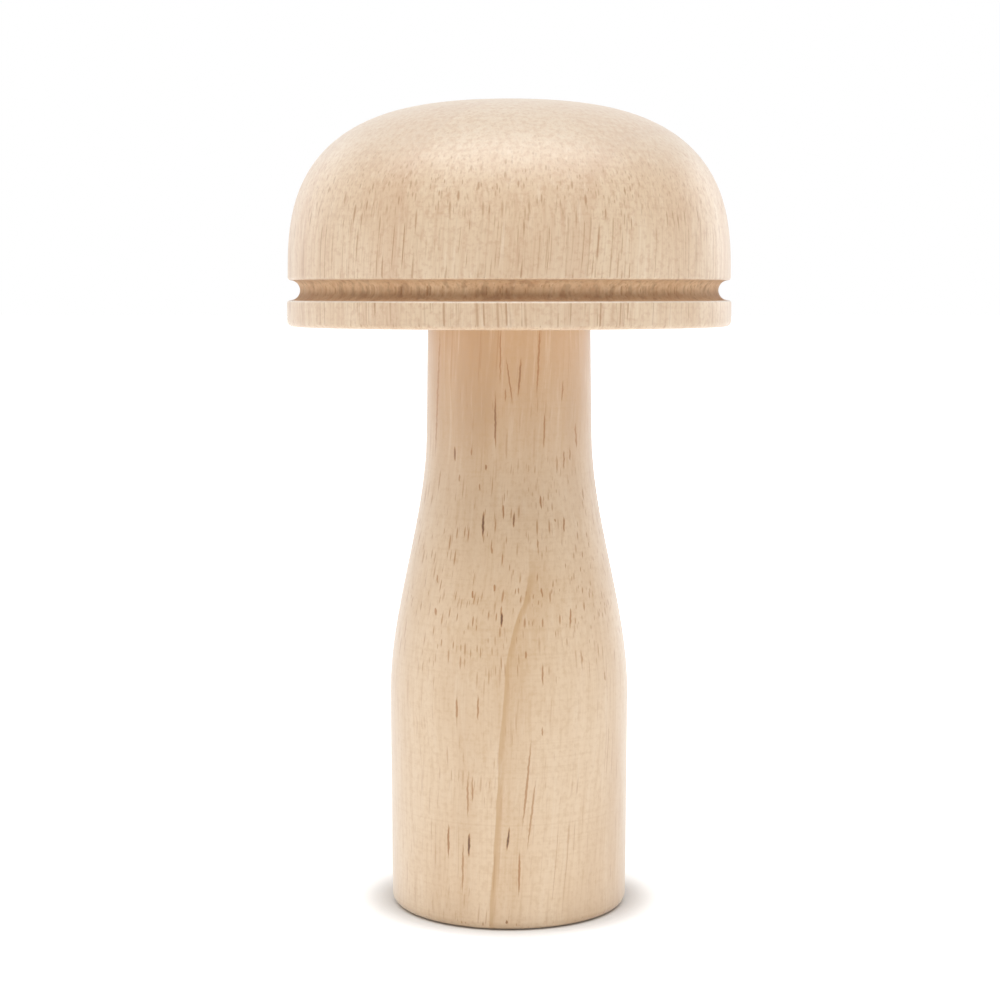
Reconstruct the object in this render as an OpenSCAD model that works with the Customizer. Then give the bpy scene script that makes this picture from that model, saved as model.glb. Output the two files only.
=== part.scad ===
// Darning mushroom: a turned wooden cap on a turned wooden handle, held
// together by a glued dowel. Millimetres, +Z up, standing on its foot, with
// the origin at the middle of the foot.

/* [Cap] */
// Width of the cap across its rim
cap_d = 58.2; // [50:0.1:70]
// Height of the dome above the thread groove
dome_h = 23.2; // [18:0.1:32]
// Fullness of the dome's outline: 2 is an ellipse, more is squarer
dome_fullness = 2.8; // [2:0.1:4]
// How far the dome's wall stands inside the rim
dome_set_in = 0.1; // [0:0.05:0.5]
// Height of the rim below the thread groove
rim_h = 3.4; // [2.5:0.1:6]
// Width of the thread groove at its mouth
groove_w = 2.6; // [1.5:0.1:4]
// Depth of the thread groove below the rim
groove_depth = 1.7; // [1:0.1:3]
// Rounding of the rim's lower edge
rim_edge_r = 0.7; // [0.2:0.1:1]
// Rounding of the two edges beside the groove
groove_edge_r = 0.35; // [0.1:0.05:0.7]

/* [Handle] */
// Height of the handle from the foot to the cap
handle_h = 76.8; // [60:0.2:100]
// Width of the neck where it meets the cap
neck_top_d = 21.4; // [18:0.2:26]
// Width of the neck where the swell starts
neck_low_d = 21.8; // [18:0.2:26]
// Length of the neck above the swell
neck_len = 13.5; // [5:0.5:25]
// Width of the belly at its widest
belly_d = 31.6; // [28:0.2:36]
// Height of the top of the belly above the foot
belly_h = 28; // [15:0.5:35]
// Width of the foot above its rounded edge
foot_d = 31.2; // [28:0.2:36]
// Rounding of the foot's edge
foot_edge_r = 1.2; // [0.4:0.1:2.5]

/* [Dowel] */
// Width of the dowel across its ribs
dowel_d = 10; // [8:0.5:12]
// Length of the dowel
dowel_l = 40; // [30:1:44]
// Length of the dowel's end bevel
dowel_bevel = 1; // [0.5:0.1:2]
// Number of glue flutes around the dowel
flute_count = 20; // [12:1:24]
// Width of one glue flute
flute_w = 0.9; // [0.5:0.1:1]
// Depth of one glue flute
flute_depth = 0.3; // [0.2:0.05:0.4]
// Room for glue between the dowel and the wall of its bore
glue_gap = 0.05; // [0.02:0.01:0.1]
// Room for glue between each end of the dowel and its bore's floor
bore_spare = 1; // [0.5:0.1:2]
// Angle of the drill's point
drill_point = 118; // [90:1:140]

/* [Hidden] */

// The facets on the round pieces, and the steps along each curved outline
round_fn = 128;
dome_steps = 44;
swell_steps = 26;
edge_steps = 6;
groove_steps = 14;
// A cut reaches this far past the face that it opens
past = 1;

cap_r = cap_d / 2;
dome_r = cap_r - dome_set_in;
rim_top_z = handle_h + rim_h;
dome_z = rim_top_z + groove_w;
top_z = dome_z + dome_h;
groove_r = groove_w / 2;
groove_centre_r = cap_r - groove_depth + groove_r;
swell_top_z = handle_h - neck_len;
bore_r = dowel_d / 2 + glue_gap;
bore_depth = dowel_l / 2 + bore_spare;
// The circle that cuts a flute as wide and as deep as asked
flute_r = (pow(flute_w / 2, 2) + pow(flute_depth, 2)) / (2 * flute_depth);

// Points along an arc about c, from angle a to angle b
function arc(c, r, a, b, steps) =
    [for (i = [0:steps]) let (t = a + (b - a) * i / steps) c + r * [cos(t), sin(t)]];

// The dome's outline above height rise, from its wall to its top
function dome_outline(rise) =
    let (start = asin(pow(rise / dome_h, dome_fullness / 2)))
    [for (i = [0:dome_steps - 1])
        let (t = start + (90 - start) * i / dome_steps)
        [dome_r * pow(cos(t), 2 / dome_fullness),
         dome_z + dome_h * pow(sin(t), 2 / dome_fullness)]];

// The handle's half width at a share t of the swell, from belly to neck
function swell_r(t) = (belly_d - (belly_d - neck_low_d) * (3 * t * t - 2 * t * t * t)) / 2;

// The swell between the belly and the neck
function swell_outline() =
    [for (i = [0:swell_steps])
        let (t = i / swell_steps)
        [swell_r(t), belly_h + (swell_top_z - belly_h) * t]];

// A blind bore with a drilled floor, opening downwards at z = 0
module dowel_bore() {
    translate([0, 0, -past])
        cylinder(h = bore_depth + past, r = bore_r, $fn = round_fn);
    translate([0, 0, bore_depth])
        cylinder(h = bore_r / tan(drill_point / 2), r1 = bore_r, r2 = 0, $fn = round_fn);
}

module cap() {
    color("burlywood")
    difference() {
        rotate_extrude($fn = round_fn)
            polygon(concat(
                [[0, handle_h]],
                arc([cap_r - rim_edge_r, handle_h + rim_edge_r], rim_edge_r, -90, 0, edge_steps),
                arc([cap_r - groove_edge_r, rim_top_z - groove_edge_r], groove_edge_r, 0, 90, edge_steps),
                arc([groove_centre_r, rim_top_z + groove_r], groove_r, 270, 90, groove_steps),
                arc([dome_r - groove_edge_r, dome_z + groove_edge_r], groove_edge_r, -90, 0, edge_steps),
                dome_outline(2 * groove_edge_r),
                [[0, top_z]]
            ));
        translate([0, 0, handle_h]) dowel_bore();
    }
}

module handle() {
    color("wheat")
    difference() {
        rotate_extrude($fn = round_fn)
            polygon(concat(
                [[0, 0]],
                arc([foot_d / 2 - foot_edge_r, foot_edge_r], foot_edge_r, -90, 0, edge_steps),
                swell_outline(),
                [[neck_top_d / 2, handle_h], [0, handle_h]]
            ));
        translate([0, 0, handle_h]) mirror([0, 0, 1]) dowel_bore();
    }
}

// The cutter of one flute, standing at the dowel's side
module flute_cutter() {
    translate([dowel_d / 2 - flute_depth + flute_r, 0, -past])
        cylinder(h = dowel_l + 2 * past, r = flute_r, $fn = 32);
}

module dowel() {
    bevel_in = dowel_bevel / 2;
    color("tan")
    translate([0, 0, handle_h - dowel_l / 2])
    difference() {
        rotate_extrude($fn = round_fn)
            polygon([
                [0, 0],
                [dowel_d / 2 - bevel_in, 0],
                [dowel_d / 2, dowel_bevel],
                [dowel_d / 2, dowel_l - dowel_bevel],
                [dowel_d / 2 - bevel_in, dowel_l],
                [0, dowel_l]
            ]);
        for (i = [0:flute_count - 1])
            rotate([0, 0, 360 / flute_count * i]) flute_cutter();
    }
}

cap();
handle();
dowel();
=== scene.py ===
"""Darning mushroom: a turned wooden cap on a turned wooden handle, on a white table under soft light."""

import logging
import math
from dataclasses import dataclass, field
from enum import Enum

import bmesh
import bpy
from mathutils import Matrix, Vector


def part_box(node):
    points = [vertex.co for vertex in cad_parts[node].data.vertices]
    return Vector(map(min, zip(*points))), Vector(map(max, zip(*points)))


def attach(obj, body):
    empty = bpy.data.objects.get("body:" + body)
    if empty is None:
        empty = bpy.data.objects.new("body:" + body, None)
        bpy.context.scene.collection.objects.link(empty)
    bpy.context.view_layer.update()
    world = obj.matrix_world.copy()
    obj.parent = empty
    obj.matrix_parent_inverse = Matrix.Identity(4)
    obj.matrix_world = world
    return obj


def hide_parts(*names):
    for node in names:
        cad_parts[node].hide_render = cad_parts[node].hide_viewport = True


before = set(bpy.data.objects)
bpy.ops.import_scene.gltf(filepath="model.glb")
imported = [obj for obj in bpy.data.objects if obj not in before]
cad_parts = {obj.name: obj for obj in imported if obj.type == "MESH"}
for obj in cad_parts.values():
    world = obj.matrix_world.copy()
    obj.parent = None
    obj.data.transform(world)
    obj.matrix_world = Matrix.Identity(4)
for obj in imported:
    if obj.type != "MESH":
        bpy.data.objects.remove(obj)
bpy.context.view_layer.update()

LOG = logging.getLogger("darning_mushroom")
BODY = "root"
MM = 0.001

Colour = tuple[float, float, float, float]
Point = tuple[float, float]
Feed = bpy.types.NodeSocket | float | tuple


def paint(red: int, green: int, blue: int) -> Colour:
    """Turns a colour as a screen shows it into the linear colour that a shader takes.

    Args:
        red: The red share, from 0 to 255.
        green: The green share, from 0 to 255.
        blue: The blue share, from 0 to 255.

    Returns:
        The linear colour, fully opaque.
    """
    shares = (value / 255 for value in (red, green, blue))
    linear = [c / 12.92 if c <= 0.04045 else ((c + 0.055) / 1.055) ** 2.4 for c in shares]
    return linear[0], linear[1], linear[2], 1.0


# The paler fibres, and the colour of the cap's painted shadow on the upper handle
CREAM_FIBRE = paint(236, 217, 192)
CAP_SHADOW_PAINT = paint(214, 194, 168)
# What the tools leave on the wood: pale sanding powder, which on the eased edge is a painted highlight; torn
# grain; and painted shade on the groove's roof and floor
DUST_AND_HIGHLIGHT_PALE = paint(228, 217, 202)
TORN_GRAIN = paint(128, 88, 60)
GROOVE_ROOF_SHADE_PAINT = paint(140, 102, 64)
GROOVE_FLOOR_SHADE_PAINT = paint(152, 106, 70)
# How soft the wax's gloss and the fibres' bloom are
WAX_ROUGHNESS = 0.33
BLOOM_ROUGHNESS = 0.4
# How deep the pores and the fine hairs stand in the relief, in millimetres
PORE_DEPTH = 0.012
HAIR_DEPTH = 0.01
# Half the height over which the streak dies out, in millimetres
STREAK_END = 3


class Cut(Enum):
    """The tool that left a stretch of the outline. The value is the stretch's material slot."""

    SANDED = 0
    SCORED = 1
    PARTED = 2
    BORED = 3
    # The eased edge above the rim, paled by its finish as a painted highlight
    EASED_PAINTED_HIGHLIGHT = 4


@dataclass(frozen=True)
class ToolFinish:
    """How one tool leaves the wood. Lengths are in millimetres."""

    roughness: float
    wax: float
    ring_depth: float
    rings_per_mm: float
    ring_tone: float
    shade: Colour
    torn_share: float
    fuzz_depth: float
    dust_and_highlight: float = 0.0
    painted_roof_shade: float = 0.0
    painted_floor_shade: float = 0.0


TOOL_FINISHES: dict[Cut, ToolFinish] = {
    Cut.SANDED: ToolFinish(
        roughness=0.48,
        wax=0.68,
        ring_depth=0.01,
        rings_per_mm=2.2,
        ring_tone=0.16,
        shade=paint(255, 255, 255),
        torn_share=0.0,
        fuzz_depth=0.0,
        dust_and_highlight=1.0,
    ),
    Cut.SCORED: ToolFinish(
        roughness=0.75,
        wax=0.0,
        ring_depth=0.012,
        rings_per_mm=5.0,
        ring_tone=0.15,
        shade=paint(255, 244, 230),
        torn_share=0.3,
        fuzz_depth=0.02,
        # Painted shade on the groove's roof and floor
        painted_roof_shade=0.3,
        painted_floor_shade=0.42,
    ),
    Cut.PARTED: ToolFinish(
        roughness=0.66,
        wax=0.1,
        ring_depth=0.06,
        rings_per_mm=1.3,
        ring_tone=0.35,
        shade=paint(242, 232, 220),
        torn_share=0.25,
        fuzz_depth=0.02,
    ),
    Cut.BORED: ToolFinish(
        roughness=0.74,
        wax=0.0,
        ring_depth=0.05,
        rings_per_mm=1.8,
        ring_tone=0.3,
        shade=paint(232, 216, 200),
        torn_share=0.3,
        fuzz_depth=0.03,
    ),
    Cut.EASED_PAINTED_HIGHLIGHT: ToolFinish(
        roughness=0.42,
        wax=0.6,
        ring_depth=0.004,
        rings_per_mm=2.2,
        ring_tone=0.0,
        shade=paint(255, 255, 255),
        torn_share=0.0,
        fuzz_depth=0.0,
        # Painted highlight: paled far more than the sanded faces, as if lit from above
        dust_and_highlight=2.4,
    ),
}


@dataclass(frozen=True)
class VesselKind:
    """A family of vessels, the wood's own fine tubes, which run nearly upright. Millimetres."""

    per_mm: float
    radius: float
    share: float
    darkness: float


@dataclass(frozen=True)
class VesselShow:
    """How strongly the vessels show, as shares: along an upright wall, on a slope, and in end grain.

    The crowding says how evenly they are spread: 0 leaves them in loose bands, and 1 spreads them all over.
    """

    wall: float
    slope: float
    end: float
    crowding: float


@dataclass(frozen=True)
class OpenVessel:
    """One vessel laid open along the front of the handle, in millimetres.

    The side is counted from the handle's middle to the viewer's right, and the heights from the foot.
    The places are given one by one.
    """

    side_top: float
    top: float
    side_bottom: float
    bottom: float
    width: float
    darkness: float


@dataclass(frozen=True)
class WoodStock:
    """One blank of pale hardwood before it is turned. Places and lengths are in millimetres.

    The bloom is how much its sanded fibres catch the light at a glancing angle. The streak is the edge of
    one growth ring, as listed heights and sides. The cap shadow shares are heights, each with how strongly
    the cap's painted shadow darkens the wood there.
    """

    pale: Colour
    tan: Colour
    latewood: Colour
    vessel: Colour
    vessel_core: Colour
    pith: Point
    ring_width: float
    ring_line: float
    ring_fade: float
    ring_share: float
    fibre_share: float
    hair_share: float
    mottle_share: float
    dust_and_highlight_share: float
    bloom: float
    lean: Point
    drift: float
    vessels: tuple[VesselKind, ...]
    show: VesselShow
    opened: tuple[OpenVessel, ...] = ()
    streak: tuple[Point, ...] = ()
    streak_top: float = 0.0
    cap_shadow_shares: tuple[Point, ...] = ()
    first_seed: float = 0.0


CAP_STOCK = WoodStock(
    pale=paint(224, 199, 168),
    tan=paint(217, 188, 155),
    latewood=paint(200, 163, 131),
    vessel=paint(166, 122, 82),
    vessel_core=paint(118, 80, 52),
    pith=(-58.0, 22.0),
    ring_width=17.0,
    ring_line=2.2,
    ring_fade=7.0,
    ring_share=0.3,
    fibre_share=0.45,
    hair_share=0.25,
    mottle_share=0.5,
    dust_and_highlight_share=0.35,
    bloom=0.1,
    lean=(0.02, 0.055),
    drift=0.7,
    vessels=(
        VesselKind(per_mm=1.25, radius=0.16, share=0.95, darkness=0.55),
        VesselKind(per_mm=2.2, radius=0.11, share=0.9, darkness=0.5),
    ),
    show=VesselShow(wall=0.72, slope=0.7, end=0.55, crowding=0.8),
    first_seed=37.0,
)

HANDLE_STOCK = WoodStock(
    pale=paint(229, 203, 171),
    tan=paint(216, 186, 151),
    latewood=paint(198, 159, 112),
    vessel=paint(180, 131, 84),
    vessel_core=paint(100, 62, 32),
    pith=(34.5, -28.9),
    ring_width=26.0,
    ring_line=1.0,
    ring_fade=6.5,
    ring_share=0.72,
    fibre_share=0.25,
    hair_share=0.12,
    mottle_share=0.25,
    dust_and_highlight_share=0.1,
    bloom=0.4,
    lean=(0.045, 0.03),
    drift=0.9,
    vessels=(
        VesselKind(per_mm=1.35, radius=0.135, share=0.7, darkness=0.46),
        VesselKind(per_mm=2.0, radius=0.1, share=0.6, darkness=0.5),
    ),
    show=VesselShow(wall=0.6, slope=1.0, end=0.5, crowding=0.35),
    opened=(
        OpenVessel(-8.9, 77, -9.6, 60, 0.24, 0.6),
        OpenVessel(3.9, 77, 3.5, 68, 0.26, 0.65),
        OpenVessel(1.5, 73, 1.1, 68, 0.26, 0.75),
        OpenVessel(-0.4, 73, 0.4, 67, 0.2, 0.7),
        OpenVessel(-1.1, 77, -1.2, 69.5, 0.22, 0.55),
        OpenVessel(-1.8, 68.5, -1.8, 61.5, 0.28, 0.8),
        OpenVessel(-0.5, 69, -0.5, 67.5, 0.22, 0.55),
        OpenVessel(6.9, 70, 6.7, 67, 0.2, 0.6),
        OpenVessel(4.5, 66, 4.4, 61.5, 0.22, 0.65),
        OpenVessel(8.5, 64.5, 8.7, 61, 0.22, 0.6),
        OpenVessel(-7, 61.5, -7, 59.5, 0.28, 0.8),
        OpenVessel(-3, 59.5, -3, 58.5, 0.26, 0.75),
        OpenVessel(-4.8, 61.5, -4.8, 60.5, 0.22, 0.5),
        OpenVessel(6.1, 60.5, 6.1, 58, 0.22, 0.4),
        OpenVessel(7, 61, 7, 58.5, 0.22, 0.5),
        OpenVessel(7.8, 61.5, 7.8, 59.5, 0.22, 0.45),
        OpenVessel(-6.4, 58, -6.4, 57, 0.22, 0.45),
        OpenVessel(-3.8, 57, -3.8, 56, 0.22, 0.5),
        OpenVessel(3.9, 55.5, 4.1, 53.5, 0.24, 0.7),
        OpenVessel(-3.3, 53.5, -3.4, 50, 0.32, 0.95),
        OpenVessel(0.6, 53.5, 0.5, 51.5, 0.28, 0.85),
        OpenVessel(-0.8, 54.5, -0.8, 52.5, 0.26, 0.7),
        OpenVessel(7, 52.5, 7, 50.5, 0.24, 0.6),
        OpenVessel(5.8, 52.5, 5.9, 52, 0.24, 0.5),
        OpenVessel(3.6, 50, 3.6, 48.5, 0.24, 0.45),
        OpenVessel(-2.3, 49, -2.2, 48, 0.24, 0.5),
        OpenVessel(-9.3, 45, -9.2, 44, 0.24, 0.45),
        OpenVessel(-1.9, 44.5, -1.9, 43.5, 0.28, 0.6),
        OpenVessel(1.1, 44, 1.2, 43, 0.22, 0.45),
        OpenVessel(4, 44, 4.2, 42.5, 0.26, 0.55),
        OpenVessel(-4.7, 43.5, -4.6, 42.5, 0.28, 0.65),
        OpenVessel(-1, 41, -1, 39, 0.32, 1.0),
        OpenVessel(7.8, 41, 7.8, 39, 0.24, 0.6),
        OpenVessel(-9.5, 41, -9.4, 40, 0.3, 0.5),
        OpenVessel(2.1, 36, 2.1, 35, 0.26, 0.6),
        OpenVessel(9.3, 35, 9.3, 34, 0.22, 0.4),
        OpenVessel(4.2, 34.5, 4.2, 31.5, 0.24, 0.5),
        OpenVessel(12.3, 32.5, 12.4, 31, 0.22, 0.4),
        OpenVessel(-6.7, 30, -6.7, 27, 0.34, 0.5),
        OpenVessel(-4, 30.5, -4, 27, 0.26, 0.5),
        OpenVessel(4.2, 26.5, 4.2, 25, 0.24, 0.45),
        OpenVessel(3.4, 20, 2.2, 10, 0.3, 0.4),
        OpenVessel(2.8, 25, 1.6, 13, 0.34, 0.45),
        OpenVessel(-5.3, 20, -5.3, 14.5, 0.28, 0.45),
        OpenVessel(-4.7, 20, -4.7, 16.5, 0.26, 0.45),
        OpenVessel(-7.8, 13.5, -7.8, 9, 0.3, 0.7),
        OpenVessel(-5.1, 12.5, -5.2, 9.5, 0.34, 1.0),
        OpenVessel(0, 13.5, -0.3, 10.5, 0.3, 0.95),
        OpenVessel(-5.9, 11.5, -6, 4.5, 0.26, 0.45),
        OpenVessel(1.3, 10.5, 1.2, 4.5, 0.32, 0.55),
        OpenVessel(-0.4, 1.5, -0.3, 1, 0.34, 0.8),
    ),
    streak=(
        (1.0, -2.7),
        (10.0, -2.1),
        (20.0, -1.6),
        (30.0, -0.9),
        (36.0, -0.3),
        (40.0, 0.8),
        (43.0, 2.0),
        (48.0, 2.7),
    ),
    streak_top=46.0,
    # Painted shadow of the cap, darkest at the top of the neck
    cap_shadow_shares=((0.0, 0.0), (40.0, 0.0), (56.0, 0.14), (66.0, 0.58), (76.8, 0.72)),
    first_seed=11.0,
)

DOWEL_STOCK = WoodStock(
    pale=paint(214, 182, 144),
    tan=paint(198, 164, 124),
    latewood=paint(184, 146, 104),
    vessel=paint(140, 98, 62),
    vessel_core=paint(110, 76, 48),
    pith=(20.0, 12.0),
    ring_width=3.0,
    ring_line=0.4,
    ring_fade=2.0,
    ring_share=0.5,
    fibre_share=0.3,
    hair_share=0.2,
    mottle_share=0.2,
    dust_and_highlight_share=0.0,
    bloom=0.3,
    lean=(0.02, 0.0),
    drift=0.4,
    vessels=(VesselKind(per_mm=1.8, radius=0.06, share=0.6, darkness=0.4),),
    show=VesselShow(wall=1.0, slope=1.0, end=1.0, crowding=0.5),
    first_seed=71.0,
)


@dataclass(frozen=True)
class Patterns:
    """The patterns of one blank that its colour and its relief share, each as an output socket."""

    place: bpy.types.NodeSocket
    grain: bpy.types.NodeSocket
    broad: bpy.types.NodeSocket
    fibre: bpy.types.NodeSocket
    hair: bpy.types.NodeSocket
    mottle: bpy.types.NodeSocket


class NodeSheet:
    """The node tree of one material, with short ways to add nodes and join them."""

    def __init__(self, tree: bpy.types.NodeTree) -> None:
        """Starts on an emptied tree.

        Args:
            tree: The node tree to fill.
        """
        self.tree = tree
        tree.nodes.clear()

    def add(self, kind: str, **settings: object) -> bpy.types.Node:
        """Adds one node.

        Args:
            kind: The node's type, without the word ShaderNode before it.
            **settings: Values for the node's own properties.

        Returns:
            The new node.
        """
        node = self.tree.nodes.new(f"ShaderNode{kind}")
        for name, value in settings.items():
            setattr(node, name, value)
        return node

    def feed(self, socket: bpy.types.NodeSocket, value: Feed) -> None:
        """Joins a socket to another one, or sets its constant.

        Args:
            socket: The input to feed.
            value: An output socket, or a plain number, vector or colour.
        """
        if isinstance(value, bpy.types.NodeSocket):
            self.tree.links.new(value, socket)
        else:
            socket.default_value = value

    def maths(self, operation: str, *values: Feed) -> bpy.types.NodeSocket:
        """Works out one number.

        Args:
            operation: The name of the sum, such as MULTIPLY.
            *values: What goes in, in the node's order.

        Returns:
            The socket that holds the result.
        """
        node = self.add("Math", operation=operation)
        for socket, value in zip(node.inputs, values):
            self.feed(socket, value)
        return node.outputs[0]

    def vector(self, operation: str, first: Feed, second: Feed) -> bpy.types.NodeSocket:
        """Works out one vector.

        Args:
            operation: The name of the sum, such as ADD or SCALE.
            first: The vector that goes in first.
            second: The second vector, or the factor of a SCALE.

        Returns:
            The socket that holds the vector.
        """
        node = self.add("VectorMath", operation=operation)
        self.feed(node.inputs[0], first)
        self.feed(node.inputs["Scale"] if operation == "SCALE" else node.inputs[1], second)
        return node.outputs["Vector"]

    def length(self, vector: Feed) -> bpy.types.NodeSocket:
        """Gives the length of a vector.

        Args:
            vector: The vector to measure.

        Returns:
            The socket that holds the length.
        """
        node = self.add("VectorMath", operation="LENGTH")
        self.feed(node.inputs[0], vector)
        return node.outputs["Value"]

    def split(self, vector: Feed) -> list[bpy.types.NodeSocket]:
        """Takes a vector apart.

        Args:
            vector: The vector to take apart.

        Returns:
            The sockets of its x, y and z.
        """
        node = self.add("SeparateXYZ")
        self.feed(node.inputs[0], vector)
        return list(node.outputs)

    def join(self, x: Feed, y: Feed, z: Feed) -> bpy.types.NodeSocket:
        """Makes a vector out of three numbers.

        Args:
            x: The first number.
            y: The second number.
            z: The third number.

        Returns:
            The socket that holds the vector.
        """
        node = self.add("CombineXYZ")
        for socket, value in zip(node.inputs, (x, y, z)):
            self.feed(socket, value)
        return node.outputs[0]

    def noise(self, place: Feed, scale: float, detail: float = 2.0, rough: float = 0.5) -> bpy.types.Node:
        """Adds a soft random pattern.

        Args:
            place: Where the pattern is read.
            scale: How many blotches it has per unit of length.
            detail: How many finer layers it has.
            rough: How strong each finer layer is.

        Returns:
            The noise node: its first output is a number and its second is a colour.
        """
        node = self.add("TexNoise")
        self.feed(node.inputs["Vector"], place)
        node.inputs["Scale"].default_value = scale
        node.inputs["Detail"].default_value = detail
        node.inputs["Roughness"].default_value = rough
        return node

    def curve(self, value: Feed, points: list[Point]) -> bpy.types.NodeSocket:
        """Reads a smooth curve that stays between 0 and 1.

        Args:
            value: The number that goes in, from 0 to 1.
            points: The curve's points, from left to right.

        Returns:
            The socket that holds the curve's height.
        """
        node = self.add("FloatCurve")
        line = node.mapping.curves[0]
        line.points[0].location = points[0]
        line.points[1].location = points[-1]
        for point in points[1:-1]:
            line.points.new(*point)
        node.mapping.update()
        self.feed(node.inputs["Value"], value)
        return node.outputs[0]

    def ramp(
        self, value: Feed, start: Feed, end: Feed, low: Feed = 0.0, high: Feed = 1.0
    ) -> bpy.types.NodeSocket:
        """Turns one range of numbers smoothly into another, and stops at its ends.

        Args:
            value: The number that goes in.
            start: The number at which the result is low.
            end: The number at which the result is high.
            low: The result at the start.
            high: The result at the end.

        Returns:
            The socket that holds the result.
        """
        node = self.add("MapRange", interpolation_type="SMOOTHSTEP")
        names = ("Value", "From Min", "From Max", "To Min", "To Max")
        for name, part in zip(names, (value, start, end, low, high)):
            self.feed(node.inputs[name], part)
        return node.outputs[0]

    def blend(self, share: Feed, first: Feed, second: Feed, way: str = "MIX") -> bpy.types.NodeSocket:
        """Mixes two colours.

        Args:
            share: How much of the second colour shows, from 0 to 1.
            first: The colour underneath.
            second: The colour on top.
            way: The kind of mixing.

        Returns:
            The socket that holds the mixed colour.
        """
        node = self.add("Mix", data_type="RGBA", blend_type=way)
        socket = {s.identifier: s for s in node.inputs}
        self.feed(socket["Factor_Float"], share)
        self.feed(socket["A_Color"], first)
        self.feed(socket["B_Color"], second)
        return next(s for s in node.outputs if s.identifier == "Result_Color")


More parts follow.
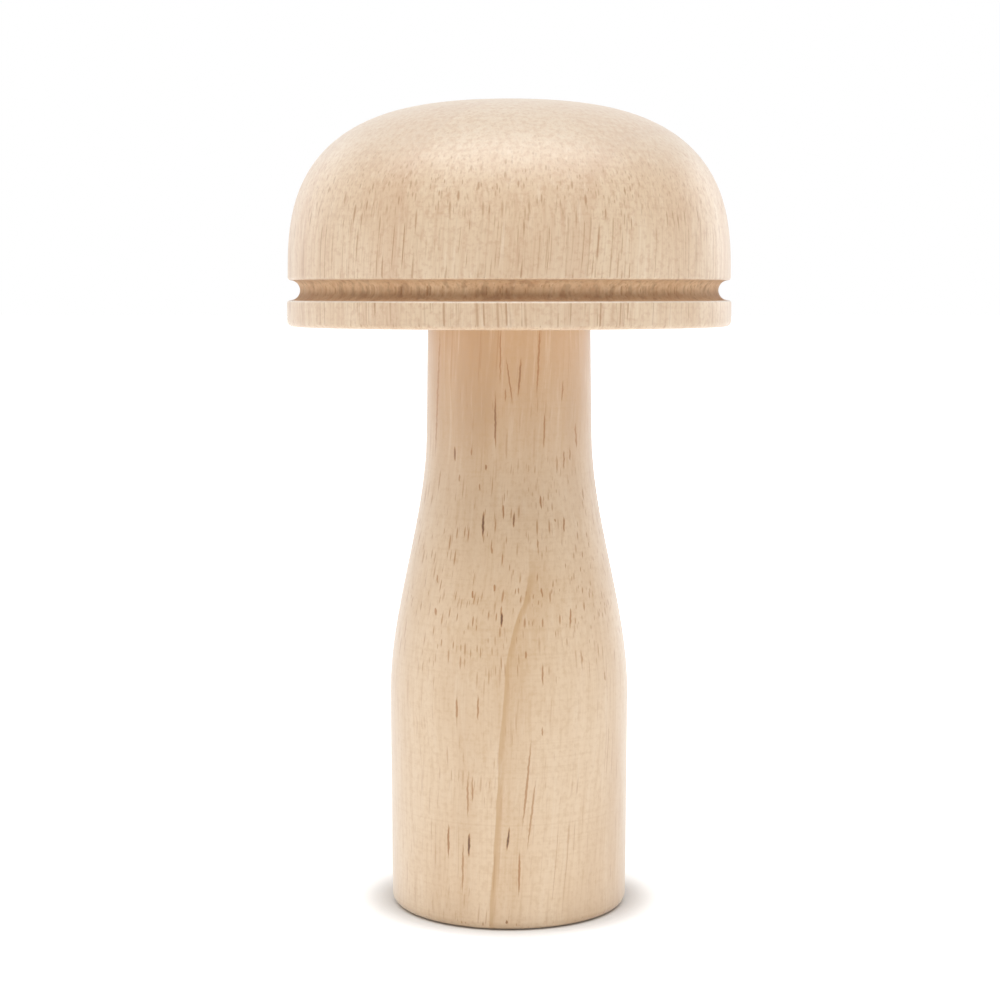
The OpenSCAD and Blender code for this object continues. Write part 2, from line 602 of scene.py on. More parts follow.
class TurnedWood:
    """The material of one blank of wood where one tool has cut it.

    The grain is a solid pattern that stands upright in the blank, so the surface lays its vessels open as
    long lines where it runs along them, as dashes where it slopes, and as dots where it lies across.
    """

    def __init__(self, name: str, stock: WoodStock, finish: ToolFinish) -> None:
        """Prepares an empty material.

        Args:
            name: The material's name.
            stock: The blank that the piece is turned from.
            finish: How the tool leaves the surface.
        """
        self.stock = stock
        self.finish = finish
        self.material = bpy.data.materials.new(name)
        self.material.use_nodes = True
        self.sheet = NodeSheet(self.material.node_tree)
        self.seed = stock.first_seed

    def place(self) -> bpy.types.NodeSocket:
        """Gives the place on the piece, in millimetres."""
        return self.sheet.vector("SCALE", self.sheet.add("TexCoord").outputs["Object"], 1 / MM)

    def shifted(self, place: bpy.types.NodeSocket) -> bpy.types.NodeSocket:
        """Gives the place shifted by the next seed, so that no two patterns are alike."""
        self.seed += 13.7
        return self.sheet.vector("ADD", place, (self.seed, self.seed * 0.7, self.seed * 0.3))

    def grained(self, place: bpy.types.NodeSocket) -> bpy.types.NodeSocket:
        """Follows the grain: the place at which a vessel that passes here crosses the blank's foot.

        Args:
            place: The place on the piece, in millimetres.

        Returns:
            The place across the grain, which is the same all along one vessel.
        """
        sheet = self.sheet
        wander = sheet.noise(self.shifted(place), 0.055, 1.0).outputs[1]
        wander = sheet.vector("SUBTRACT", wander, (0.5, 0.5, 0.5))
        wander = sheet.vector("SCALE", wander, 2 * self.stock.drift)
        x, y, z = sheet.split(sheet.vector("ADD", place, wander))
        lean_x, lean_y = self.stock.lean
        across = sheet.maths("SUBTRACT", x, sheet.maths("MULTIPLY", z, lean_x))
        deep = sheet.maths("SUBTRACT", y, sheet.maths("MULTIPLY", z, lean_y))
        return sheet.join(across, deep, 0.0)

    def stretched(
        self, grain: bpy.types.NodeSocket, place: bpy.types.NodeSocket, squeeze: float
    ) -> bpy.types.NodeSocket:
        """Gives a place that is squeezed along the grain, so that patterns come out long.

        Args:
            grain: The place across the grain.
            place: The place on the piece, in millimetres.
            squeeze: How much of its own length the grain keeps.

        Returns:
            The squeezed place.
        """
        x, y, _ = self.sheet.split(grain)
        height = self.sheet.maths("MULTIPLY", self.sheet.split(place)[2], squeeze)
        return self.sheet.join(x, y, height)

    def sway(self, place: bpy.types.NodeSocket, handle: "TurnedHandle | None") -> Feed:
        """Gives how far the growth rings bend away from true circles at this height.

        Args:
            place: The place on the piece, in millimetres.
            handle: The handle, which knows its own width at each height, or None for straight rings.

        Returns:
            A socket with the bend in millimetres, or 0 for straight rings.
        """
        if handle is None or not self.stock.streak:
            return 0.0
        sheet = self.sheet
        pith_x, pith_y = self.stock.pith
        reach = self.stock.ring_width
        bends = []
        for height, side in self.stock.streak:
            depth = math.sqrt(handle.radius(height * MM) ** 2 / MM**2 - side**2)
            bends.append((height, math.hypot(side - pith_x, -depth - pith_y) - reach))
        top = handle.top / MM
        span = max(abs(bend) for _, bend in bends) * 2
        ends = [(0.0, bends[0][1]), *bends, (top, bends[-1][1])]
        points = [(height / top, 0.5 + bend / span) for height, bend in ends]
        read = sheet.curve(sheet.maths("DIVIDE", sheet.split(place)[2], top), points)
        return sheet.maths("MULTIPLY", sheet.maths("SUBTRACT", read, 0.5), span)

    def facing_up(self) -> bpy.types.NodeSocket:
        """Gives how far the surface faces up, from -1 to 1, which is also across the grain."""
        return self.sheet.split(self.sheet.add("TexCoord").outputs["Normal"])[2]

    def painted_cap_shadow(self, place: bpy.types.NodeSocket, colour: bpy.types.NodeSocket) -> bpy.types.NodeSocket:
        """Darkens the wood slowly with the height: the painted shadow of the cap on the upper handle.

        Args:
            place: The place on the piece, in millimetres.
            colour: The wood's colour.

        Returns:
            The colour with the cap's painted shadow.
        """
        cap_shadow_shares = self.stock.cap_shadow_shares
        if not cap_shadow_shares:
            return colour
        top = cap_shadow_shares[-1][0]
        points = [(height / top, share) for height, share in cap_shadow_shares]
        share = self.sheet.curve(self.sheet.maths("DIVIDE", self.sheet.split(place)[2], top), points)
        return self.sheet.blend(share, colour, CAP_SHADOW_PAINT, "MULTIPLY")

    def rings(
        self,
        grain: bpy.types.NodeSocket,
        place: bpy.types.NodeSocket,
        handle: "TurnedHandle | None",
    ) -> bpy.types.NodeSocket:
        """Works out the growth rings: each darkens slowly outwards and ends in a sharp edge.

        Args:
            grain: The place across the grain.
            place: The place on the piece, in millimetres.
            handle: The handle, if the rings follow its streak.

        Returns:
            How much latewood shows, from 0 to 1.
        """
        sheet = self.sheet
        pith_x, pith_y = self.stock.pith
        source = place if handle else grain
        x, y, _ = sheet.split(source)
        flat = sheet.join(sheet.maths("SUBTRACT", x, pith_x), sheet.maths("SUBTRACT", y, pith_y), 0.0)
        wobble = sheet.maths("SUBTRACT", sheet.noise(self.shifted(place), 0.16, 2.0).outputs[0], 0.5)
        distance = sheet.maths("SUBTRACT", sheet.length(flat), self.sway(place, handle))
        distance = sheet.maths("ADD", distance, sheet.maths("MULTIPLY", wobble, 0.7))
        share = sheet.maths("FRACT", sheet.maths("DIVIDE", distance, self.stock.ring_width))
        inward = sheet.maths("MULTIPLY", sheet.maths("SUBTRACT", 1.0, share), self.stock.ring_width)
        fade = sheet.ramp(inward, self.stock.ring_fade, 0.0)
        line = sheet.ramp(inward, self.stock.ring_line, self.stock.ring_line * 0.4)
        edge = sheet.ramp(inward, 0.0, self.stock.ring_line * 0.2)
        late = sheet.maths("ADD", sheet.maths("MULTIPLY", fade, 0.45), sheet.maths("MULTIPLY", line, 0.6))
        if self.stock.streak_top:
            top = self.stock.streak_top
            height = sheet.split(place)[2]
            late = sheet.maths("MULTIPLY", late, sheet.ramp(height, top + STREAK_END, top - STREAK_END))
        return sheet.maths("MULTIPLY", late, edge)

    def vessels(self, grain: bpy.types.NodeSocket, place: bpy.types.NodeSocket) -> bpy.types.NodeSocket:
        """Works out where the surface lays vessels open.

        Args:
            grain: The place across the grain.
            place: The place on the piece, in millimetres.

        Returns:
            How much vessel shows, from 0 to 1.
        """
        sheet = self.sheet
        show = self.stock.show
        shown: Feed = 0.0
        for kind in self.stock.vessels:
            cells = sheet.add("TexVoronoi", voronoi_dimensions="2D")
            sheet.feed(cells.inputs["Vector"], self.shifted(grain))
            cells.inputs["Scale"].default_value = kind.per_mm
            chance, girth, _ = sheet.split(cells.outputs["Color"])
            middling = kind.radius * kind.per_mm
            radius = sheet.ramp(girth, 0.0, 1.0, middling * 0.6, middling * 1.25)
            rim = sheet.maths("MULTIPLY", radius, 1.3)
            core = sheet.maths("MULTIPLY", radius, 0.4)
            inside = sheet.ramp(cells.outputs["Distance"], rim, core)
            strength = sheet.ramp(chance, 1 - kind.share, 1.0, 0.25, kind.darkness)
            strength = sheet.maths("MULTIPLY", strength, sheet.maths("GREATER_THAN", chance, 1 - kind.share))
            gaps = sheet.noise(self.stretched(self.shifted(grain), place, 0.12), 1.1, 1.0).outputs[0]
            crowds = sheet.noise(self.shifted(place), 0.22, 1.0).outputs[0]
            sparse = 0.4 - 0.3 * show.crowding
            crowded = sheet.ramp(crowds, sparse, sparse + 0.16)
            broken = sheet.maths("MULTIPLY", sheet.ramp(gaps, 0.38, 0.5), crowded)
            layer = sheet.maths("MULTIPLY", sheet.maths("MULTIPLY", inside, strength), broken)
            shown = sheet.maths("MAXIMUM", shown, layer)
        slope = sheet.maths("ABSOLUTE", self.facing_up())
        shown = sheet.maths("MULTIPLY", shown, sheet.ramp(slope, 0.03, 0.2, show.wall, show.slope))
        return sheet.maths("MULTIPLY", shown, sheet.ramp(slope, 0.25, 0.75, 1.0, show.end))

    def opened(self, place: bpy.types.NodeSocket, handle: "TurnedHandle") -> bpy.types.NodeSocket:
        """Works out the long vessels that the turner happened to lay open along the front.

        Args:
            place: The place on the piece, in millimetres.
            handle: The handle, which knows its own width at each height.

        Returns:
            How much of such a vessel shows, from 0 to 1.
        """
        sheet = self.sheet
        fray = sheet.noise(self.shifted(place), 1.3, 1.0).outputs[1]
        fray = sheet.vector("SUBTRACT", fray, (0.5, 0.5, 0.5))
        frayed = sheet.vector("ADD", place, sheet.vector("MULTIPLY", fray, (0.22, 0.0, 0.8)))
        shown: Feed = 0.0
        for vessel in self.stock.opened:
            side = (vessel.side_top + vessel.side_bottom) / 2
            height = (vessel.top + vessel.bottom) / 2
            width_here = handle.radius(min(height * MM, handle.top)) / MM
            tilt = math.atan2(vessel.side_top - vessel.side_bottom, vessel.top - vessel.bottom)
            lens = sheet.add("Mapping", vector_type="TEXTURE")
            sheet.feed(lens.inputs["Vector"], frayed)
            lens.inputs["Location"].default_value = (side, -math.sqrt(width_here**2 - side**2), height)
            lens.inputs["Rotation"].default_value = (0.0, tilt, 0.0)
            lens.inputs["Scale"].default_value = (vessel.width / 2, 2.5, (vessel.top - vessel.bottom) / 2)
            layer = sheet.ramp(sheet.length(lens.outputs[0]), 1.25, 0.55, 0.0, vessel.darkness)
            shown = sheet.maths("MAXIMUM", shown, layer)
        return shown

    def tool_rings(self, place: bpy.types.NodeSocket) -> bpy.types.NodeSocket:
        """Works out the fine rings that the lathe leaves around the piece.

        Args:
            place: The place on the piece, in millimetres.

        Returns:
            The rings' height, from -0.5 to 0.5.
        """
        sheet = self.sheet
        x, y, z = sheet.split(place)
        radius = sheet.length(sheet.join(x, y, 0.0))
        lathe_place = sheet.join(radius, z, 0.0)
        fine = sheet.noise(self.shifted(lathe_place), self.finish.rings_per_mm, 2.0, 0.6).outputs[0]
        patch = sheet.ramp(sheet.noise(self.shifted(place), 0.13, 1.0).outputs[0], 0.35, 0.65, 0.35, 1.0)
        return sheet.maths("MULTIPLY", sheet.maths("SUBTRACT", fine, 0.5), patch)

    def patterns(self) -> Patterns:
        """Lays out the blank's patterns, in the order that the seeds follow.

        Returns:
            The patterns that the colour and the relief share.
        """
        sheet = self.sheet
        place = self.place()
        grain = self.grained(place)
        return Patterns(
            place=place,
            grain=grain,
            broad=sheet.noise(self.stretched(self.shifted(grain), place, 0.3), 0.11, 2.0).outputs[0],
            fibre=sheet.noise(self.stretched(self.shifted(grain), place, 0.05), 1.7, 3.0, 0.6).outputs[0],
            hair=sheet.noise(self.stretched(self.shifted(grain), place, 0.04), 5.0, 2.0, 0.6).outputs[0],
            mottle=sheet.noise(self.shifted(place), 1.5, 2.0, 0.6).outputs[0],
        )

    def bare(self, seen: Patterns, handle: "TurnedHandle | None") -> bpy.types.NodeSocket:
        """Colours the bare wood: its blotches, the cap's painted shadow, growth rings and fibres.

        Args:
            seen: The blank's patterns.
            handle: The handle, if this is its wood.

        Returns:
            The colour without vessels.
        """
        sheet = self.sheet
        stock = self.stock
        colour = sheet.blend(sheet.ramp(seen.broad, 0.32, 0.68), stock.pale, stock.tan)
        # Painted shade: the cap's shadow darkens the upper handle
        colour = self.painted_cap_shadow(seen.place, colour)
        speckle = sheet.ramp(seen.mottle, 0.45, 0.7, 0.0, stock.mottle_share)
        colour = sheet.blend(speckle, colour, stock.latewood)
        late = sheet.maths("MULTIPLY", self.rings(seen.grain, seen.place, handle), stock.ring_share)
        colour = sheet.blend(late, colour, stock.latewood)
        dark_fibre = sheet.ramp(seen.fibre, 0.48, 0.72, 0.0, stock.fibre_share)
        colour = sheet.blend(dark_fibre, colour, stock.latewood)
        pale_fibre = sheet.ramp(seen.fibre, 0.46, 0.25, 0.0, stock.fibre_share)
        colour = sheet.blend(pale_fibre, colour, CREAM_FIBRE)
        return sheet.blend(sheet.ramp(seen.hair, 0.5, 0.75, 0.0, stock.hair_share), colour, stock.vessel)

    def veined(
        self,
        colour: bpy.types.NodeSocket,
        pores: bpy.types.NodeSocket,
        place: bpy.types.NodeSocket,
        handle: "TurnedHandle | None",
    ) -> bpy.types.NodeSocket:
        """Draws the vessels on the bare wood.

        Args:
            colour: The bare wood's colour.
            pores: Where the surface lays vessels open.
            place: The place on the piece, in millimetres.
            handle: The handle, if this is its wood.

        Returns:
            The colour with its vessels.
        """
        sheet = self.sheet
        brown = pores
        if handle and self.stock.opened:
            brown = sheet.maths("MAXIMUM", pores, self.opened(place, handle))
        colour = sheet.blend(sheet.ramp(brown, 0.0, 0.6), colour, self.stock.vessel)
        return sheet.blend(sheet.ramp(brown, 0.6, 1.0, 0.0, 0.9), colour, self.stock.vessel_core)

    def worked(self, colour: bpy.types.NodeSocket, seen: Patterns) -> bpy.types.NodeSocket:
        """Adds the tool's tint, pale powder and painted highlight, torn grain, and the groove's painted
        shade.

        Args:
            colour: The wood's colour.
            seen: The blank's patterns.

        Returns:
            The colour of the worked surface.
        """
        sheet = self.sheet
        finish = self.finish
        colour = sheet.blend(1.0, colour, finish.shade, "MULTIPLY")
        # Paler where the surface faces up: sanding powder, and on the eased edge a painted highlight
        if finish.dust_and_highlight:
            dust_and_highlight = sheet.ramp(self.facing_up(), 0.3, 0.8, 0.0, finish.dust_and_highlight * self.stock.dust_and_highlight_share)
            dust_and_highlight = sheet.maths("MULTIPLY", dust_and_highlight, sheet.ramp(seen.mottle, 0.35, 0.65, 1.25, 0.75))
            colour = sheet.blend(dust_and_highlight, colour, DUST_AND_HIGHLIGHT_PALE)
        if finish.torn_share:
            long_place = self.stretched(self.shifted(seen.grain), seen.place, 0.5)
            torn = sheet.noise(long_place, 0.9, 2.0, 0.6).outputs[0]
            colour = sheet.blend(sheet.ramp(torn, 0.5, 0.66, 0.0, finish.torn_share), colour, TORN_GRAIN)
        # Painted shade in the groove: darker on its roof, which faces down under the dome, and on its floor
        if finish.painted_roof_shade:
            roof = sheet.ramp(self.facing_up(), -0.5, -0.95, 0.0, finish.painted_roof_shade)
            colour = sheet.blend(roof, colour, GROOVE_ROOF_SHADE_PAINT)
            floor = sheet.ramp(self.facing_up(), -0.2, 0.6, 0.0, finish.painted_floor_shade)
            colour = sheet.blend(floor, colour, GROOVE_FLOOR_SHADE_PAINT)
        return colour

    def relief(
        self, rings: bpy.types.NodeSocket, pores: bpy.types.NodeSocket, seen: Patterns
    ) -> bpy.types.NodeSocket:
        """Works out the fine relief of the surface.

        Args:
            rings: The tool rings' height.
            pores: Where the surface lays vessels open.
            seen: The blank's patterns.

        Returns:
            The relief, in millimetres.
        """
        sheet = self.sheet
        height = sheet.maths("MULTIPLY", rings, self.finish.ring_depth)
        height = sheet.maths("SUBTRACT", height, sheet.maths("MULTIPLY", pores, PORE_DEPTH))
        height = sheet.maths("ADD", height, sheet.maths("MULTIPLY", seen.hair, HAIR_DEPTH))
        if self.finish.fuzz_depth:
            fuzz = sheet.noise(self.shifted(seen.place), 3.0, 3.0, 0.7).outputs[0]
            height = sheet.maths("ADD", height, sheet.maths("MULTIPLY", fuzz, self.finish.fuzz_depth))
        return height

    def dress(self, handle: "TurnedHandle | None" = None) -> bpy.types.Material:
        """Fills the material. Every pattern takes the next seed, so the order of the calls matters.

        Args:
            handle: The handle, if this is its wood, for what follows its outline.

        Returns:
            The finished material.
        """
        sheet = self.sheet
        finish = self.finish
        seen = self.patterns()
        colour = self.bare(seen, handle)
        pores = self.vessels(seen.grain, seen.place)
        colour = self.veined(colour, pores, seen.place, handle)
        colour = self.worked(colour, seen)
        rings = self.tool_rings(seen.place)
        ring_share = sheet.ramp(rings, -0.05, 0.2, 0.0, finish.ring_tone)
        colour = sheet.blend(ring_share, colour, self.stock.latewood)

        bump = sheet.add("Bump")
        bump.inputs["Strength"].default_value = 1.0
        bump.inputs["Distance"].default_value = MM
        sheet.feed(bump.inputs["Height"], self.relief(rings, pores, seen))

        shader = sheet.add("BsdfPrincipled")
        shader.inputs["Coat Weight"].default_value = finish.wax
        shader.inputs["Coat Roughness"].default_value = WAX_ROUGHNESS
        shader.inputs["Sheen Weight"].default_value = self.stock.bloom
        shader.inputs["Sheen Roughness"].default_value = BLOOM_ROUGHNESS
        gloss = sheet.ramp(seen.fibre, 0.3, 0.7, finish.roughness - 0.04, finish.roughness + 0.06)
        gloss = sheet.maths("ADD", gloss, sheet.maths("MULTIPLY", pores, 0.2))
        sheet.feed(shader.inputs["Base Color"], colour)
        sheet.feed(shader.inputs["Roughness"], gloss)
        sheet.feed(shader.inputs["Normal"], bump.outputs[0])
        sheet.feed(sheet.add("OutputMaterial").inputs["Surface"], shader.outputs[0])
        return self.material


@dataclass
class Stretch:
    """A part of a turned outline, from the point before it to its last point, left by one tool."""

    cut: Cut
    points: list[Point]


def arc(centre: Point, radius: float, start: float, end: float, steps: int) -> list[Point]:
    """Gives points along an arc of an outline.

    Args:
        centre: The arc's centre, as distance from the axis and height.
        radius: The arc's radius.
        start: The angle of the first point, in degrees.
        end: The angle of the last point, in degrees.
        steps: How many steps lie between them.

    Returns:
        The points from start to end.
    """
    turns = [math.radians(start + (end - start) * i / steps) for i in range(steps + 1)]
    return [(centre[0] + radius * math.cos(t), centre[1] + radius * math.sin(t)) for t in turns]


def even(start: Point, end: Point, steps: int) -> list[Point]:
    """Gives points along a straight stretch, without its first point."""
    shares = [i / steps for i in range(1, steps + 1)]
    return [(start[0] + (end[0] - start[0]) * s, start[1] + (end[1] - start[1]) * s) for s in shares]


def turn(name: str, first: Point, stretches: list[Stretch], segments: int) -> bpy.types.Object:
    """Turns an outline about the upright axis into a closed mesh of quads.

    Args:
        name: The piece's name.
        first: The outline's first point, on the axis.
        stretches: The rest of the outline, which also ends on the axis.
        segments: How many faces go around.

    Returns:
        The new piece, each face set to the slot number of its kind of cut.
    """
    mesh = bpy.data.meshes.new(name)
    shape = bmesh.new()
    compass = [2 * math.pi * i / segments for i in range(segments)]
    outline = [(first, Cut.BORED)]
    for stretch in stretches:
        outline.extend((point, stretch.cut) for point in stretch.points)
    rings: list[list[bmesh.types.BMVert]] = []
    for (radius, height), _ in outline:
        if radius < 1e-7:
            rings.append([shape.verts.new((0.0, 0.0, height))])
        else:
            places = [(radius * math.cos(a), radius * math.sin(a), height) for a in compass]
            rings.append([shape.verts.new(corner) for corner in places])
    for index in range(1, len(rings)):
        low, high = rings[index - 1], rings[index]
        for i in range(segments):
            j = (i + 1) % segments
            corners = [low[i % len(low)], low[j % len(low)], high[j % len(high)], high[i % len(high)]]
            face = shape.faces.new(list(dict.fromkeys(corners)))
            face.material_index = outline[index][1].value
            face.smooth = True
    bmesh.ops.recalc_face_normals(shape, faces=shape.faces)
    shape.to_mesh(mesh)
    shape.free()
    mesh.set_sharp_from_angle(angle=math.radians(40))
    piece = bpy.data.objects.new(name, mesh)
    bpy.context.collection.objects.link(piece)
    return piece


@dataclass
class DowelBore:
    """The blind bore that half of the dowel is glued into. Metres."""

    radius: float = 5.05 * MM
    depth: float = 21.0 * MM
    point_angle: float = 118.0
    mouth_bevel: float = 0.2 * MM

    def tip(self) -> float:
        """Gives how far the drill's point reaches past the bore's wall."""
        return self.radius / math.tan(math.radians(self.point_angle / 2))

    def outline(self, mouth: float, inwards: int) -> tuple[Point, Stretch]:
        """Gives the bore's outline from its tip to its mouth.

        Args:
            mouth: The height of the mouth.
            inwards: 1 for a bore that runs upwards from its mouth, and -1 for one that runs down.

        Returns:
            The tip, and the stretch that leads from it to the mouth.
        """
        floor = mouth + inwards * self.depth
        wall = even((self.radius, floor), (self.radius, mouth + inwards * self.mouth_bevel), 6)
        points = [(self.radius, floor), *wall, (self.radius + self.mouth_bevel, mouth)]
        return (0.0, floor + inwards * self.tip()), Stretch(Cut.BORED, points)


@dataclass
class TurnedCap:
    """The cap: a flat-topped dome over a thread groove and a rim, with a bore in its underside. Metres."""

    radius: float
    base: float
    top: float
    rim_height: float = 3.4 * MM
    groove_width: float = 2.6 * MM
    groove_depth: float = 1.7 * MM
    dome_set_in: float = 0.1 * MM
    dome_fullness: float = 2.8
    rim_edge: float = 0.7 * MM
    groove_edge: float = 0.35 * MM
    dome_steps: int = 48
    segments: int = 224
    bore: DowelBore = field(default_factory=DowelBore)

    @classmethod
    def in_frame(cls) -> "TurnedCap":
        """Takes the cap's overall sizes from the frame."""
        low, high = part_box("cap")
        return cls(radius=(high.x - low.x) / 2, base=low.z, top=high.z)

    def dome(self, base: float) -> list[Point]:
        """Gives the dome's outline above its rounded edge.

        Args:
            base: The height of the dome's lower edge.

        Returns:
            The points from the wall to the top, on the axis.
        """
        wall = self.radius - self.dome_set_in
        rise = self.top - base
        power = 2 / self.dome_fullness
        start = math.asin((2 * self.groove_edge / rise) ** (1 / power))
        turns = [start + (math.pi / 2 - start) * i / self.dome_steps for i in range(self.dome_steps)]
        points = [(wall * math.cos(t) ** power, base + rise * math.sin(t) ** power) for t in turns]
        return [*points, (0.0, self.top)]

    def build(self) -> bpy.types.Object:
        """Turns the cap.

        Returns:
            The cap, in its place on the handle.
        """
        tip, bore = self.bore.outline(self.base, 1)
        rim_top = self.base + self.rim_height
        dome_base = rim_top + self.groove_width
        half_groove = self.groove_width / 2
        wall = self.radius - self.dome_set_in
        low_edge = arc((self.radius - self.rim_edge, self.base + self.rim_edge), self.rim_edge, -90, 0, 7)
        high_centre = (self.radius - self.groove_edge, rim_top - self.groove_edge)
        high_edge = arc(high_centre, self.groove_edge, 0, 90, 6)
        groove_centre = (self.radius - self.groove_depth + half_groove, rim_top + half_groove)
        dome_edge = arc((wall - self.groove_edge, dome_base + self.groove_edge), self.groove_edge, -90, 0, 6)
        return turn(
            "cap_turned",
            tip,
            [
                bore,
                Stretch(Cut.PARTED, even(bore.points[-1], low_edge[0], 8)),
                Stretch(Cut.SANDED, low_edge[1:] + even(low_edge[-1], high_edge[0], 3)),
                Stretch(Cut.EASED_PAINTED_HIGHLIGHT, high_edge[1:]),
                Stretch(Cut.SCORED, arc(groove_centre, half_groove, 270, 90, 16) + dome_edge[:1]),
                Stretch(Cut.SANDED, dome_edge[1:] + self.dome(dome_base)),
            ],
            self.segments,
        )

    def dress(self, piece: bpy.types.Object) -> None:
        """Gives the cap its wood, one slot for each kind of cut.

        Args:
            piece: The turned cap.
        """
        for cut in Cut:
            wood = TurnedWood(f"cap_wood_{cut.name.lower()}", CAP_STOCK, TOOL_FINISHES[cut])
            piece.data.materials.append(wood.dress())


@dataclass
class TurnedHandle:
    """The handle: neck, swell, belly and flat foot, with a bore in its top. Metres."""

    foot_radius: float
    belly_radius: float
    top: float
    neck_top_radius: float = 10.7 * MM
    neck_low_radius: float = 10.9 * MM
    neck_length: float = 13.5 * MM
    belly_height: float = 28.0 * MM
    foot_edge: float = 1.2 * MM
    swell_steps: int = 30
    segments: int = 192
    bore: DowelBore = field(default_factory=DowelBore)

    @classmethod
    def in_frame(cls) -> "TurnedHandle":
        """Takes the handle's overall sizes from the frame.

        Returns:
            The handle, ready to build.
        """
        low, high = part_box("handle")
        belly = (high.x - low.x) / 2
        return cls(foot_radius=belly - 0.2 * MM, belly_radius=belly, top=high.z)

    def radius(self, height: float) -> float:
        """Gives the handle's half width.

        Args:
            height: The height above the foot.

        Returns:
            The half width there.
        """
        neck_base = self.top - self.neck_length
        if height < self.belly_height:
            share = height / self.belly_height
            return self.foot_radius + (self.belly_radius - self.foot_radius) * share
        if height < neck_base:
            share = (height - self.belly_height) / (neck_base - self.belly_height)
            eased = 3 * share**2 - 2 * share**3
            return self.belly_radius - (self.belly_radius - self.neck_low_radius) * eased
        share = (height - neck_base) / self.neck_length
        return self.neck_low_radius + (self.neck_top_radius - self.neck_low_radius) * share

    def build(self) -> bpy.types.Object:
        """Turns the handle.

        Returns:
            The handle, standing on its foot.
        """
        neck_base = self.top - self.neck_length
        edge = arc((self.foot_radius - self.foot_edge, self.foot_edge), self.foot_edge, -90, 0, 9)
        step = (neck_base - self.belly_height) / self.swell_steps
        heights = [self.belly_height + step * i for i in range(self.swell_steps + 1)]
        swell = [(self.radius(z), z) for z in heights]
        neck_top = (self.neck_top_radius, self.top)
        below = even(edge[-1], swell[0], 6)[:-1]
        tip, bore = self.bore.outline(self.top, -1)
        inwards = [*reversed(bore.points), tip]
        return turn(
            "handle_turned",
            (0.0, 0.0),
            [
                Stretch(Cut.PARTED, even((0.0, 0.0), edge[0], 8)),
                Stretch(Cut.SANDED, edge[1:] + below + swell + even(swell[-1], neck_top, 4)),
                Stretch(Cut.PARTED, even(neck_top, inwards[0], 3)),
                Stretch(Cut.BORED, inwards[1:]),
            ],
            self.segments,
        )

    def dress(self, piece: bpy.types.Object) -> None:
        """Gives the handle its wood, one slot for each kind of cut.

        Args:
            piece: The turned handle.
        """
        for cut in Cut:
            wood = TurnedWood(f"handle_wood_{cut.name.lower()}", HANDLE_STOCK, TOOL_FINISHES[cut])
            piece.data.materials.append(wood.dress(self))


@dataclass
class FlutedDowel:
    """The dowel that joins the cap to the handle. It is hidden, and keeps its solid from the frame."""

    name: str = "dowel"

    def dress(self, piece: bpy.types.Object) -> None:
        """Gives the dowel its own wood in place of the frame's plain finish.

        Args:
            piece: The dowel's solid from the frame.
        """
        piece.data.materials.clear()
        wood = TurnedWood("dowel_wood_rolled", DOWEL_STOCK, TOOL_FINISHES[Cut.BORED])
        piece.data.materials.append(wood.dress())


@dataclass(frozen=True)
class SoftBox:
    """A soft rectangular lamp. Metres, with the power in watts."""

    name: str
    place: tuple[float, float, float]
    aim: tuple[float, float, float]
    width: float
    depth: float
    power: float

    def hang(self) -> None:
        """Hangs the lamp in its place, turned to what it lights."""
        light = bpy.data.lights.new(self.name, "AREA")
        light.shape = "RECTANGLE"
        light.size = self.width
        light.size_y = self.depth
        light.energy = self.power
        lamp = bpy.data.objects.new(self.name, light)
        lamp.location = self.place
        lamp.rotation_euler = (Vector(self.aim) - Vector(self.place)).to_track_quat("-Z", "Y").to_euler()
        lamp.visible_camera = False
        bpy.context.collection.objects.link(lamp)


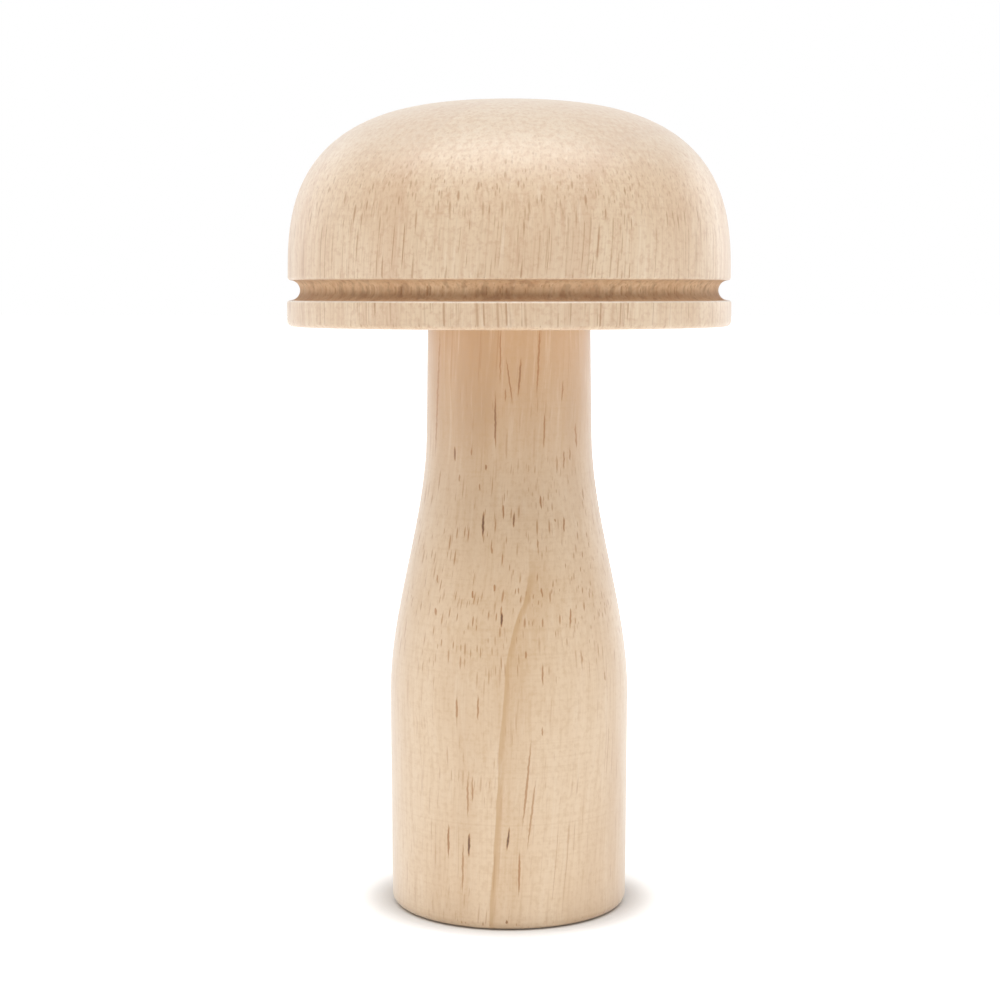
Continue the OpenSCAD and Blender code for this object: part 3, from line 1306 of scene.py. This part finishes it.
@dataclass
class Studio:
    """A white table under soft lamps, with the camera at the height of the cap. Metres.

    The table top glows everywhere but under the foot and close to it, which leaves a painted contact shadow
    round the foot. That near glow isn't only seen: it also lights the wood from below. The far glow is only
    seen.
    """

    lamps: tuple[SoftBox, ...] = (
        SoftBox("lamp_above", (-0.06, -0.09, 0.78), (-0.06, 0.0, 0.05), 1.4, 0.2, 3.0),
        SoftBox("lamp_front", (0.03, -0.34, 0.74), (0.03, 0.0, 0.05), 0.85, 0.26, 2.5),
        SoftBox("lamp_left", (-0.6, -0.16, 0.07), (0.0, 0.0, 0.02), 0.4, 0.1, 0.22),
        SoftBox("lamp_right", (0.6, -0.16, 0.07), (0.0, 0.0, 0.02), 0.4, 0.1, 0.13),
        SoftBox("lamp_back_left", (-0.5, 0.38, 0.3), (0.0, 0.0, 0.05), 0.5, 0.4, 0.42),
        SoftBox("lamp_back_right", (0.47, 0.4, 0.22), (0.0, 0.0, 0.05), 0.4, 0.3, 0.42),
    )
    sky_level: float = 0.22
    table_glow: float = 0.56
    glow_start: float = 0.0152
    glow_end: float = 0.022
    far_glow: float = 0.5
    far_start: float = 0.12
    far_end: float = 0.6
    floor_reach: float = 6.0
    table_grey: float = 0.88
    camera_distance: float = 0.2851
    camera_height: float = 0.0818
    camera_side: float = -0.0012
    camera_pitch: float = 4.82
    camera_shift: float = -0.03
    lens: float = 77.73
    sensor_width: float = 36.0
    nearest: float = 0.01

    def seen_share(self, sheet: NodeSheet) -> bpy.types.NodeSocket:
        """Tells what is looked at apart from what lights.

        Args:
            sheet: The node tree that asks.

        Returns:
            A socket with 1 for the eye, a reflection or clear glass, and 0 for the light itself.
        """
        path = sheet.add("LightPath").outputs
        seen = sheet.maths("MAXIMUM", path["Is Camera Ray"], path["Is Glossy Ray"])
        return sheet.maths("MAXIMUM", seen, path["Is Transmission Ray"])

    def light_sky(self) -> None:
        """Surrounds the scene with white, which lights it softly."""
        world = bpy.data.worlds.new("white_room")
        world.use_nodes = True
        bpy.context.scene.world = world
        sheet = NodeSheet(world.node_tree)
        sky = sheet.add("Background")
        sky.inputs["Color"].default_value = (1.0, 1.0, 1.0, 1.0)
        sheet.feed(sky.inputs["Strength"], sheet.ramp(self.seen_share(sheet), 0.0, 1.0, self.sky_level, 1.0))
        sheet.feed(sheet.add("OutputWorld").inputs["Surface"], sky.outputs[0])

    def lay_floor(self) -> bpy.types.Object:
        """Lays the white table top.

        Returns:
            The floor, marked as stage.
        """
        reach = self.floor_reach
        mesh = bpy.data.meshes.new("table_top")
        corners = [(-reach, -reach, 0.0), (reach, -reach, 0.0), (reach, reach, 0.0), (-reach, reach, 0.0)]
        mesh.from_pydata(corners, [], [(0, 1, 2, 3)])
        floor = bpy.data.objects.new("table_top", mesh)
        bpy.context.collection.objects.link(floor)
        material = bpy.data.materials.new("table_white")
        material.use_nodes = True
        sheet = NodeSheet(material.node_tree)
        matt = sheet.add("BsdfDiffuse")
        matt.inputs["Color"].default_value = (self.table_grey, self.table_grey, self.table_grey, 1.0)
        glow = sheet.add("Emission")
        away = sheet.length(sheet.add("TexCoord").outputs["Object"])
        # Painted shadow: the glow is left out under the foot and fades in close to it
        near = sheet.ramp(away, self.glow_start, self.glow_end, 0.0, self.table_glow)
        far = sheet.ramp(away, self.far_start, self.far_end, 0.0, self.far_glow)
        far = sheet.maths("MULTIPLY", far, self.seen_share(sheet))
        sheet.feed(glow.inputs["Strength"], sheet.maths("ADD", near, far))
        both = sheet.add("AddShader")
        sheet.feed(both.inputs[0], matt.outputs[0])
        sheet.feed(both.inputs[1], glow.outputs[0])
        sheet.feed(sheet.add("OutputMaterial").inputs["Surface"], both.outputs[0])
        mesh.materials.append(material)
        return floor

    def set_camera(self) -> None:
        """Sets the camera level with the groove, looking slightly down."""
        view = bpy.data.cameras.new("camera")
        view.lens = self.lens
        view.sensor_width = self.sensor_width
        view.shift_y = self.camera_shift
        view.clip_start = self.nearest
        camera = bpy.data.objects.new("camera", view)
        camera.location = (self.camera_side, -self.camera_distance, self.camera_height)
        camera.rotation_euler = (math.radians(90 - self.camera_pitch), 0.0, 0.0)
        bpy.context.collection.objects.link(camera)
        bpy.context.scene.camera = camera

    def build(self) -> None:
        """Sets up the whole studio."""
        bpy.context.scene.view_settings.view_transform = "Standard"
        self.light_sky()
        self.lay_floor()
        for lamp in self.lamps:
            lamp.hang()
        self.set_camera()


def seat(piece: bpy.types.Object, node: str) -> None:
    """Puts a piece in the place of its solid.

    Args:
        piece: The piece that shows.
        node: The solid of the frame that it stands for.
    """
    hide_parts(node)
    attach(piece, BODY)
    LOG.info("%s stands for %s with %d faces", piece.name, node, len(piece.data.polygons))


def main() -> None:
    """Builds the studio and the three pieces, in order."""
    logging.basicConfig(level=logging.INFO, format="%(name)s: %(message)s")
    Studio().build()
    LOG.info("studio set")

    cap = TurnedCap.in_frame()
    cap_piece = cap.build()
    cap.dress(cap_piece)
    seat(cap_piece, "cap")

    handle = TurnedHandle.in_frame()
    handle_piece = handle.build()
    handle.dress(handle_piece)
    seat(handle_piece, "handle")

    dowel = FlutedDowel()
    dowel.dress(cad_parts[dowel.name])
    LOG.info("%s keeps its solid and takes its own wood", dowel.name)


if __name__ == "__main__":
    main()
